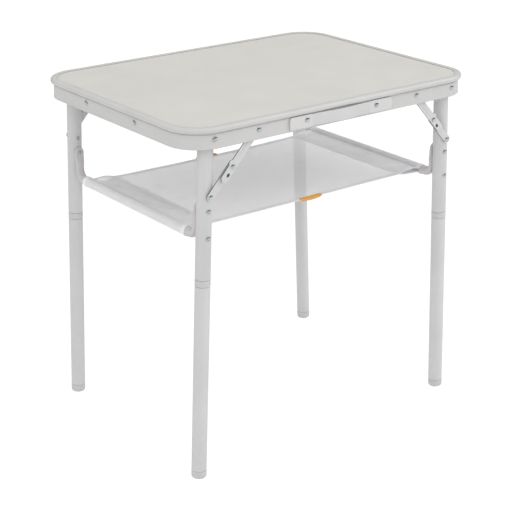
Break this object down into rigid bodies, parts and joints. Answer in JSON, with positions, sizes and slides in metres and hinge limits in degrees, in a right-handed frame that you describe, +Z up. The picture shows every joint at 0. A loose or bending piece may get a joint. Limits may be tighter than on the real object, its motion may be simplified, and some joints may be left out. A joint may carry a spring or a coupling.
{
  "type": "camp kitchen table",
  "caption": "Folding camp kitchen table: rimmed laminate top on splayed plug-in tube legs with locking knee braces, a carry handle and a hanging mesh shelf.",
  "frame": {"origin": "on the ground, under the middle of the table's box", "axes": "+X along the long side, -Y the front with the carry handle, +Z up"},
  "size_m": [0.6, 0.4542, 0.6],
  "materials": {
    "laminate": "matt warm grey laminate with a fine grain",
    "rim_coating": "light grey powder coat, satin",
    "leg_coating": "light grey powder coat, satin",
    "handle_plastic": "white moulded plastic, satin",
    "collar_plastic": "warm off-white moulded plastic",
    "bar_coating": "warm light grey powder coat",
    "zinc": "blue zinc plate",
    "mesh_cloth": "fine white polyester mesh",
    "orange_webbing": "orange woven webbing"
  },
  "bodies": {
    "top": {"top_panel": "laminate", "rim": "rim_coating", "front_panel_rail": "zinc", "back_panel_rail": "zinc", "handle": "handle_plastic", "handle_rivet_left": "zinc", "handle_rivet_right": "zinc", "left_front_leg_pivot": "zinc", "left_front_brace_pivot": "zinc", "left_back_leg_pivot": "zinc", "left_back_brace_pivot": "zinc", "right_front_leg_pivot": "zinc", "right_front_brace_pivot": "zinc", "right_back_leg_pivot": "zinc", "right_back_brace_pivot": "zinc", "shelf_cloth": "mesh_cloth", "front_shelf_tab": "orange_webbing", "back_shelf_tab": "orange_webbing"},
    "left_frame": {"left_shelf_bar": "bar_coating", "left_front_upper_leg": "leg_coating", "left_front_collar": "collar_plastic", "left_front_brace_leg_rivet": "zinc", "left_back_upper_leg": "leg_coating", "left_back_collar": "collar_plastic", "left_back_brace_leg_rivet": "zinc"},
    "left_front_upper_link": {"left_front_upper_link": "leg_coating", "left_front_knee_rivet": "zinc"},
    "left_front_lower_link": {"left_front_lower_link": "leg_coating"},
    "left_front_lower_leg": {"left_front_lower_leg": "leg_coating", "left_front_foot": "collar_plastic"},
    "left_back_upper_link": {"left_back_upper_link": "leg_coating", "left_back_knee_rivet": "zinc"},
    "left_back_lower_link": {"left_back_lower_link": "leg_coating"},
    "left_back_lower_leg": {"left_back_lower_leg": "leg_coating", "left_back_foot": "collar_plastic"},
    "right_frame": {"right_shelf_bar": "bar_coating", "right_front_upper_leg": "leg_coating", "right_front_collar": "collar_plastic", "right_front_brace_leg_rivet": "zinc", "right_back_upper_leg": "leg_coating", "right_back_collar": "collar_plastic", "right_back_brace_leg_rivet": "zinc"},
    "right_front_upper_link": {"right_front_upper_link": "leg_coating", "right_front_knee_rivet": "zinc"},
    "right_front_lower_link": {"right_front_lower_link": "leg_coating"},
    "right_front_lower_leg": {"right_front_lower_leg": "leg_coating", "right_front_foot": "collar_plastic"},
    "right_back_upper_link": {"right_back_upper_link": "leg_coating", "right_back_knee_rivet": "zinc"},
    "right_back_lower_link": {"right_back_lower_link": "leg_coating"},
    "right_back_lower_leg": {"right_back_lower_leg": "leg_coating", "right_back_foot": "collar_plastic"}
  },
  "joints": [
    {"name": "left_fold", "type": "hinge", "parent": "top", "child": "left_frame", "pos_m": [-0.2475, 0.00215, 0.5818], "axis": [0, -1, 0], "range_deg": [0, 92.36], "deforming": ["shelf_cloth"]},
    {"name": "left_front_upper_link_swing", "type": "hinge", "parent": "top", "child": "left_front_upper_link", "pos_m": [-0.165, -0.19285, 0.5818], "axis": [0, -1, 0], "range_deg": [0, 132.7]},
    {"name": "left_front_lower_link_swing", "type": "hinge", "parent": "left_frame", "child": "left_front_lower_link", "pos_m": [-0.25137, -0.19285, 0.48788], "axis": [0, 1, 0], "range_deg": [0, 139.85]},
    {"name": "left_front_lower_leg_pull", "type": "slide", "parent": "top", "child": "left_front_lower_leg", "axis": [-0.0412, 0, -0.9992], "range_m": [0, 0.501]},
    {"name": "left_back_upper_link_swing", "type": "hinge", "parent": "top", "child": "left_back_upper_link", "pos_m": [-0.165, 0.19715, 0.5818], "axis": [0, -1, 0], "range_deg": [0, 132.7]},
    {"name": "left_back_lower_link_swing", "type": "hinge", "parent": "left_frame", "child": "left_back_lower_link", "pos_m": [-0.25137, 0.19715, 0.48788], "axis": [0, 1, 0], "range_deg": [0, 139.85]},
    {"name": "left_back_lower_leg_pull", "type": "slide", "parent": "top", "child": "left_back_lower_leg", "axis": [-0.0412, 0, -0.9992], "range_m": [0, 0.501]},
    {"name": "right_fold", "type": "hinge", "parent": "top", "child": "right_frame", "pos_m": [0.2475, 0.00215, 0.5818], "axis": [0, 1, 0], "range_deg": [0, 92.36], "deforming": ["shelf_cloth"]},
    {"name": "right_front_upper_link_swing", "type": "hinge", "parent": "top", "child": "right_front_upper_link", "pos_m": [0.165, -0.19285, 0.5818], "axis": [0, 1, 0], "range_deg": [0, 132.7]},
    {"name": "right_front_lower_link_swing", "type": "hinge", "parent": "right_frame", "child": "right_front_lower_link", "pos_m": [0.25137, -0.19285, 0.48788], "axis": [0, -1, 0], "range_deg": [0, 139.85]},
    {"name": "right_front_lower_leg_pull", "type": "slide", "parent": "top", "child": "right_front_lower_leg", "axis": [0.0412, 0, -0.9992], "range_m": [0, 0.501]},
    {"name": "right_back_upper_link_swing", "type": "hinge", "parent": "top", "child": "right_back_upper_link", "pos_m": [0.165, 0.19715, 0.5818], "axis": [0, 1, 0], "range_deg": [0, 132.7]},
    {"name": "right_back_lower_link_swing", "type": "hinge", "parent": "right_frame", "child": "right_back_lower_link", "pos_m": [0.25137, 0.19715, 0.48788], "axis": [0, -1, 0], "range_deg": [0, 139.85]},
    {"name": "right_back_lower_leg_pull", "type": "slide", "parent": "top", "child": "right_back_lower_leg", "axis": [0.0412, 0, -0.9992], "range_m": [0, 0.501]}
  ],
  "couplings": [
    {"joint": "left_front_upper_link_swing", "follows": "left_fold", "ratio": 1.4357},
    {"joint": "left_front_lower_link_swing", "follows": "left_fold", "ratio": 1.5132},
    {"joint": "left_front_lower_leg_pull", "follows": "left_fold", "m_per_rad": 0.31017},
    {"joint": "left_back_upper_link_swing", "follows": "left_fold", "ratio": 1.4357},
    {"joint": "left_back_lower_link_swing", "follows": "left_fold", "ratio": 1.5132},
    {"joint": "left_back_lower_leg_pull", "follows": "left_fold", "m_per_rad": 0.31017},
    {"joint": "right_front_upper_link_swing", "follows": "right_fold", "ratio": 1.4357},
    {"joint": "right_front_lower_link_swing", "follows": "right_fold", "ratio": 1.5132},
    {"joint": "right_front_lower_leg_pull", "follows": "right_fold", "m_per_rad": 0.31017},
    {"joint": "right_back_upper_link_swing", "follows": "right_fold", "ratio": 1.4357},
    {"joint": "right_back_lower_link_swing", "follows": "right_fold", "ratio": 1.5132},
    {"joint": "right_back_lower_leg_pull", "follows": "right_fold", "m_per_rad": 0.31017}
  ]
}
